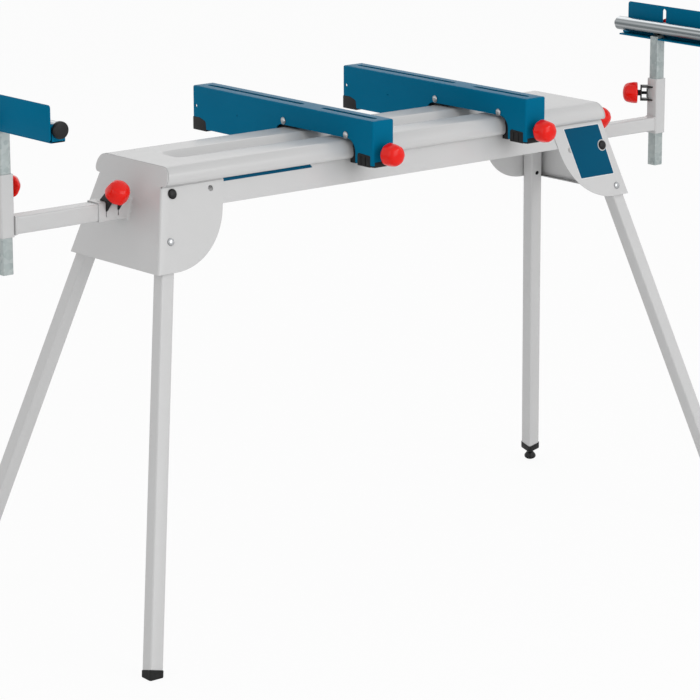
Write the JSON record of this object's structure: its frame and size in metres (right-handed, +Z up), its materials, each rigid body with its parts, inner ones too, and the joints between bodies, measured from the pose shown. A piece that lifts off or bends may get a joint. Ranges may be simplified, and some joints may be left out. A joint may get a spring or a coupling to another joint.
{
  "type": "miter saw stand",
  "caption": "Folding workshop stand for a miter saw: a sheet-metal beam on splayed folding legs, sliding crossbars and extending roller supports.",
  "frame": {"origin": "on the floor, under the middle of the stand's bounding box", "axes": "+X along the beam towards the right-hand extension arm, -Y towards the front where the red mount knobs are, +Z up"},
  "size_m": [1.5708, 0.6274, 0.923],
  "materials": {
    "grey_paint": "satin silver-grey powder coat",
    "blue_paint": "satin petrol blue powder coat",
    "red_plastic": "glossy moulded plastic",
    "black_plastic": "fine-grained moulded plastic",
    "black_rubber": "moulded rubber",
    "zinc_plate": "zinc-plated steel tube",
    "bright_steel": "bright drawn steel"
  },
  "bodies": {
    "frame": {"main_beam": "grey_paint", "left_end_housing": "grey_paint", "right_end_housing": "grey_paint", "left_arm_collar": "grey_paint", "right_arm_collar": "grey_paint", "right_arm_guide_bush": "black_plastic", "left_arm_clip": "black_plastic", "right_arm_clip": "black_plastic", "left_front_leg_pivot": "black_plastic", "left_back_leg_pivot": "black_plastic", "right_front_leg_pivot": "black_plastic", "right_back_leg_pivot": "black_plastic"},
    "left_front_leg": {"left_front_leg": "grey_paint", "left_front_foot_cap": "black_rubber"},
    "left_back_leg": {"left_back_leg": "grey_paint", "left_back_foot_cap": "black_rubber"},
    "right_front_leg": {"right_front_leg": "grey_paint", "right_front_foot_cap": "black_rubber"},
    "right_back_leg": {"right_back_leg": "grey_paint", "levelling_foot_socket": "black_rubber"},
    "levelling_foot": {"levelling_foot": "black_rubber"},
    "left_front_button": {"left_front_lock_button": "bright_steel"},
    "left_back_button": {"left_back_lock_button": "bright_steel"},
    "right_front_button": {"right_front_lock_button": "bright_steel"},
    "right_back_button": {"right_back_lock_button": "bright_steel"},
    "left_arm": {"left_extension_arm": "grey_paint", "left_post_sleeve": "grey_paint", "left_post_clip": "black_plastic"},
    "right_arm": {"right_extension_arm": "grey_paint", "right_post_sleeve": "grey_paint", "right_post_clip": "black_plastic"},
    "left_arm_knob": {"left_arm_knob": "red_plastic"},
    "right_arm_knob": {"right_arm_knob": "red_plastic"},
    "left_post": {"left_post": "zinc_plate", "left_roller_bracket": "blue_paint", "left_roller_axle": "black_plastic"},
    "right_post": {"right_post": "zinc_plate", "right_roller_bracket": "blue_paint", "right_roller_axle": "black_plastic"},
    "left_post_knob": {"left_post_knob": "red_plastic"},
    "right_post_knob": {"right_post_knob": "red_plastic"},
    "left_roller": {"left_roller": "bright_steel"},
    "right_roller": {"right_roller": "bright_steel"},
    "left_stop": {"left_stop_plate": "blue_paint"},
    "right_stop": {"right_stop_plate": "blue_paint"},
    "left_stop_knob": {"left_stop_knob": "red_plastic"},
    "right_stop_knob": {"right_stop_knob": "red_plastic"},
    "left_crossbar": {"left_crossbar": "blue_paint", "left_rear_pad": "black_plastic", "left_jaw_pin": "bright_steel", "left_pad_pin": "bright_steel"},
    "right_crossbar": {"right_crossbar": "blue_paint", "right_rear_pad": "black_plastic", "right_jaw_pin": "bright_steel", "right_pad_pin": "bright_steel"},
    "left_jaw": {"left_front_jaw": "black_plastic"},
    "right_jaw": {"right_front_jaw": "black_plastic"},
    "left_mount_knob": {"left_mount_knob": "red_plastic"},
    "right_mount_knob": {"right_mount_knob": "red_plastic"}
  },
  "joints": [
    {"name": "left_front_leg_fold", "type": "hinge", "parent": "frame", "child": "left_front_leg", "pos_m": [-0.4666, -0.09914, 0.732], "axis": [0, -0.9645, 0.2641], "range_deg": [0, 104]},
    {"name": "left_back_leg_fold", "type": "hinge", "parent": "frame", "child": "left_back_leg", "pos_m": [-0.4666, 0.05046, 0.732], "axis": [0, -0.9645, -0.2641], "range_deg": [0, 104]},
    {"name": "right_front_leg_fold", "type": "hinge", "parent": "frame", "child": "right_front_leg", "pos_m": [0.49693, -0.1079, 0.7], "axis": [0, 0.9645, -0.2641], "range_deg": [0, 104]},
    {"name": "right_back_leg_fold", "type": "hinge", "parent": "frame", "child": "right_back_leg", "pos_m": [0.49693, 0.05922, 0.7], "axis": [0, 0.9645, 0.2641], "range_deg": [0, 104]},
    {"name": "levelling_foot_screw", "type": "slide", "parent": "right_back_leg", "child": "levelling_foot", "axis": [0.2435, 0.2561, -0.9355], "range_m": [-0.006, 0.012]},
    {"name": "left_front_button_press", "type": "slide", "parent": "frame", "child": "left_front_button", "axis": [0, 0.9645, -0.2641], "range_m": [0, 0.005], "stiffness_N_per_m": 400},
    {"name": "left_back_button_press", "type": "slide", "parent": "frame", "child": "left_back_button", "axis": [0, -0.9645, -0.2641], "range_m": [0, 0.005], "stiffness_N_per_m": 400},
    {"name": "right_front_button_press", "type": "slide", "parent": "frame", "child": "right_front_button", "axis": [0, 0.9645, -0.2641], "range_m": [0, 0.005], "stiffness_N_per_m": 400},
    {"name": "right_back_button_press", "type": "slide", "parent": "frame", "child": "right_back_button", "axis": [0, -0.9645, -0.2641], "range_m": [0, 0.005], "stiffness_N_per_m": 400},
    {"name": "left_arm_slide", "type": "slide", "parent": "frame", "child": "left_arm", "axis": [-1, 0, 0], "range_m": [-0.156, 0.5]},
    {"name": "right_arm_slide", "type": "slide", "parent": "frame", "child": "right_arm", "axis": [1, 0, 0], "range_m": [-0.134, 0.52]},
    {"name": "left_arm_knob_turn", "type": "hinge", "parent": "frame", "child": "left_arm_knob", "pos_m": [-0.5335, -0.05003, 0.73119], "axis": [0, -0.7071, 0.7071], "range_deg": [0, 720]},
    {"name": "right_arm_knob_turn", "type": "hinge", "parent": "frame", "child": "right_arm_knob", "pos_m": [0.5555, -0.05003, 0.73119], "axis": [0, -0.7071, 0.7071], "range_deg": [0, 720]},
    {"name": "left_post_slide", "type": "slide", "parent": "left_arm", "child": "left_post", "axis": [0, 0, 1], "range_m": [-0.07, 0.12]},
    {"name": "right_post_slide", "type": "slide", "parent": "right_arm", "child": "right_post", "axis": [0, 0, 1], "range_m": [-0.07, 0.12]},
    {"name": "left_post_knob_turn", "type": "hinge", "parent": "left_arm", "child": "left_post_knob", "pos_m": [-0.71266, -0.003, 0.76175], "axis": [0.7071, 0.7071, 0], "range_deg": [0, 720]},
    {"name": "right_post_knob_turn", "type": "hinge", "parent": "right_arm", "child": "right_post_knob", "pos_m": [0.71266, -0.003, 0.76175], "axis": [-0.7071, 0.7071, 0], "range_deg": [0, 720]},
    {"name": "left_roller_spin", "type": "hinge", "parent": "left_post", "child": "left_roller", "pos_m": [-0.736, -0.02434, 0.883], "axis": [0, 1, 0], "continuous": true},
    {"name": "right_roller_spin", "type": "hinge", "parent": "right_post", "child": "right_roller", "pos_m": [0.736, -0.02434, 0.883], "axis": [0, 1, 0], "continuous": true},
    {"name": "left_stop_slide", "type": "slide", "parent": "left_post", "child": "left_stop", "axis": [0, 0, 1], "range_m": [-0.03, 0]},
    {"name": "right_stop_slide", "type": "slide", "parent": "right_post", "child": "right_stop", "axis": [0, 0, 1], "range_m": [-0.03, 0]},
    {"name": "left_stop_knob_turn", "type": "hinge", "parent": "left_post", "child": "left_stop_knob", "pos_m": [-0.75435, -0.02334, 0.88], "axis": [-1, 0, 0], "range_deg": [0, 720]},
    {"name": "right_stop_knob_turn", "type": "hinge", "parent": "right_post", "child": "right_stop_knob", "pos_m": [0.75435, -0.02334, 0.88], "axis": [1, 0, 0], "range_deg": [0, 720]},
    {"name": "left_crossbar_slide", "type": "slide", "parent": "frame", "child": "left_crossbar", "axis": [1, 0, 0], "range_m": [-0.33, 0.06]},
    {"name": "right_crossbar_slide", "type": "slide", "parent": "frame", "child": "right_crossbar", "axis": [1, 0, 0], "range_m": [-0.16, 0.17]},
    {"name": "left_mount_knob_turn", "type": "hinge", "parent": "left_crossbar", "child": "left_mount_knob", "pos_m": [-0.076, -0.18664, 0.767], "axis": [0, -1, 0], "range_deg": [0, 720]},
    {"name": "right_mount_knob_turn", "type": "hinge", "parent": "right_crossbar", "child": "right_mount_knob", "pos_m": [0.2735, -0.18664, 0.767], "axis": [0, -1, 0], "range_deg": [0, 720]},
    {"name": "left_jaw_swing", "type": "hinge", "parent": "left_crossbar", "child": "left_jaw", "pos_m": [-0.076, -0.11534, 0.791], "axis": [-1, 0, 0], "range_deg": [0, 12]},
    {"name": "right_jaw_swing", "type": "hinge", "parent": "right_crossbar", "child": "right_jaw", "pos_m": [0.2735, -0.11534, 0.791], "axis": [-1, 0, 0], "range_deg": [0, 12]}
  ],
  "couplings": [
    {"joint": "left_jaw_swing", "follows": "left_mount_knob_turn", "ratio": 0.016667},
    {"joint": "right_jaw_swing", "follows": "right_mount_knob_turn", "ratio": 0.016667}
  ]
}
